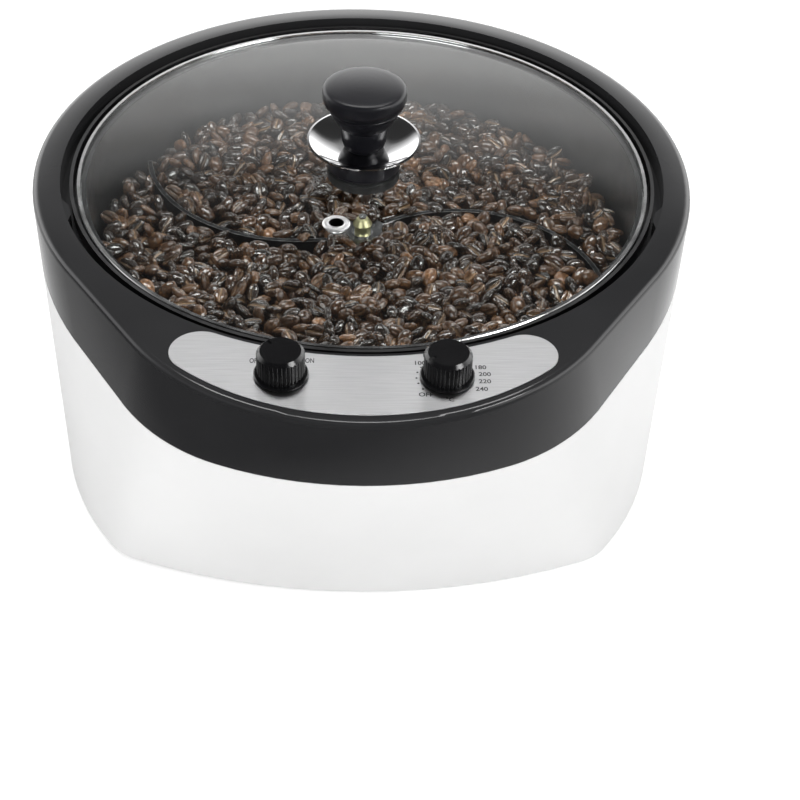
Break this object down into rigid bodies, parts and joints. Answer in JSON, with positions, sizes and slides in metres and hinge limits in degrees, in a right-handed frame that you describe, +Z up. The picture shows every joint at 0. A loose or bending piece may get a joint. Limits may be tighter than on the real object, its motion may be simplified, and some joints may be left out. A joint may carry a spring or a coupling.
{
  "type": "coffee bean roaster",
  "caption": "Round electric coffee bean roaster with a black and white body, stirred pan, lift-off glass lid, and knobs on a steel console plate.",
  "frame": {"origin": "the middle of the footprint, at table level", "axes": "+Z is up, -Y is the front with the knobs, +X is to the right of someone facing the front"},
  "size_m": [0.325, 0.3582, 0.2196],
  "materials": {
    "white_plastic": "smooth, white",
    "black_plastic": "satin black",
    "knob_plastic": "black, fluted",
    "console_steel": "brushed along its length",
    "dark_coating": "dark non-stick coating",
    "dark_casting": "dark coated casting",
    "bright_steel": "bright",
    "chrome": "polished",
    "brass": "pale",
    "copper": "copper coloured",
    "clear_glass": "clear, tempered",
    "grip_plastic": "black, smooth",
    "plated_steel": "zinc plated",
    "painted_steel": "galvanised sheet",
    "rubber": "matt black",
    "red_rubber": "silicone",
    "magnet": "dark",
    "gear_plastic": "natural",
    "case_metal": "die cast",
    "pale_plastic": "pale",
    "heater_steel": "heat tinted",
    "wire_cover": "insulated wire"
  },
  "bodies": {
    "housing": {"outer_shell": "white_plastic", "top_frame": "black_plastic", "console_plate": "console_steel", "roasting_pan": "dark_coating", "pan_posts": "plated_steel", "post_screws": "plated_steel", "heating_ring": "heater_steel", "heater_clips": "plated_steel", "clip_studs": "plated_steel", "clip_nuts": "plated_steel", "heat_shield": "painted_steel", "bottom_plate": "painted_steel", "feet": "rubber", "base_screws": "plated_steel", "frame_screws": "plated_steel", "motor_bracket": "painted_steel", "bracket_screws": "plated_steel", "motor_can": "plated_steel", "stator_coil": "copper", "gear_case": "case_metal", "case_cover": "case_metal", "case_screws": "plated_steel", "idler_pin": "plated_steel", "shaft_bushes": "brass", "shaft_seal": "red_rubber", "switch_body": "pale_plastic", "switch_nut": "plated_steel", "thermostat_body": "plated_steel", "thermostat_nut": "plated_steel", "sensing_bulb": "copper", "thermal_fuse": "pale_plastic", "terminal_block": "pale_plastic", "wiring": "wire_cover", "cord_gland": "rubber"},
    "lid": {"lid_glass": "clear_glass", "lid_rim": "bright_steel", "vent_eyelet": "bright_steel", "handle_base": "grip_plastic", "handle_dish": "chrome", "handle_grip": "grip_plastic", "handle_screw": "plated_steel", "handle_washer": "rubber"},
    "stirrer_drive": {"output_gear": "gear_plastic", "drive_shaft": "bright_steel", "shaft_clip": "plated_steel", "stirrer": "dark_casting", "hub_disc": "dark_coating", "lock_washer": "bright_steel", "dome_nut": "brass"},
    "idler": {"idler_gear": "gear_plastic"},
    "rotor": {"rotor_pinion": "plated_steel", "rotor_magnet": "magnet"},
    "switch_control": {"switch_shaft": "plated_steel", "switch_knob": "knob_plastic"},
    "thermostat_control": {"thermostat_shaft": "plated_steel", "thermostat_knob": "knob_plastic"}
  },
  "joints": [
    {"name": "lid_lift", "type": "slide", "parent": "housing", "child": "lid", "axis": [0, 0, 1], "range_m": [0, 0.15]},
    {"name": "stirrer_spin", "type": "hinge", "parent": "housing", "child": "stirrer_drive", "pos_m": [0, 0.0144, 0], "axis": [0, 0, 1], "continuous": true},
    {"name": "idler_spin", "type": "hinge", "parent": "housing", "child": "idler", "pos_m": [0, 0.0384, 0], "axis": [0, 0, 1], "continuous": true},
    {"name": "rotor_spin", "type": "hinge", "parent": "housing", "child": "rotor", "pos_m": [-0.018, 0.0384, 0], "axis": [0, 0, 1], "continuous": true},
    {"name": "switch_turn", "type": "hinge", "parent": "housing", "child": "switch_control", "pos_m": [-0.035, -0.1494, 0], "axis": [0, 0, 1], "range_deg": [-92, 0]},
    {"name": "thermostat_turn", "type": "hinge", "parent": "housing", "child": "thermostat_control", "pos_m": [0.035, -0.1494, 0], "axis": [0, 0, 1], "range_deg": [-235, 22]}
  ],
  "couplings": [
    {"joint": "idler_spin", "follows": "stirrer_spin", "ratio": -5},
    {"joint": "rotor_spin", "follows": "stirrer_spin", "ratio": 25}
  ]
}
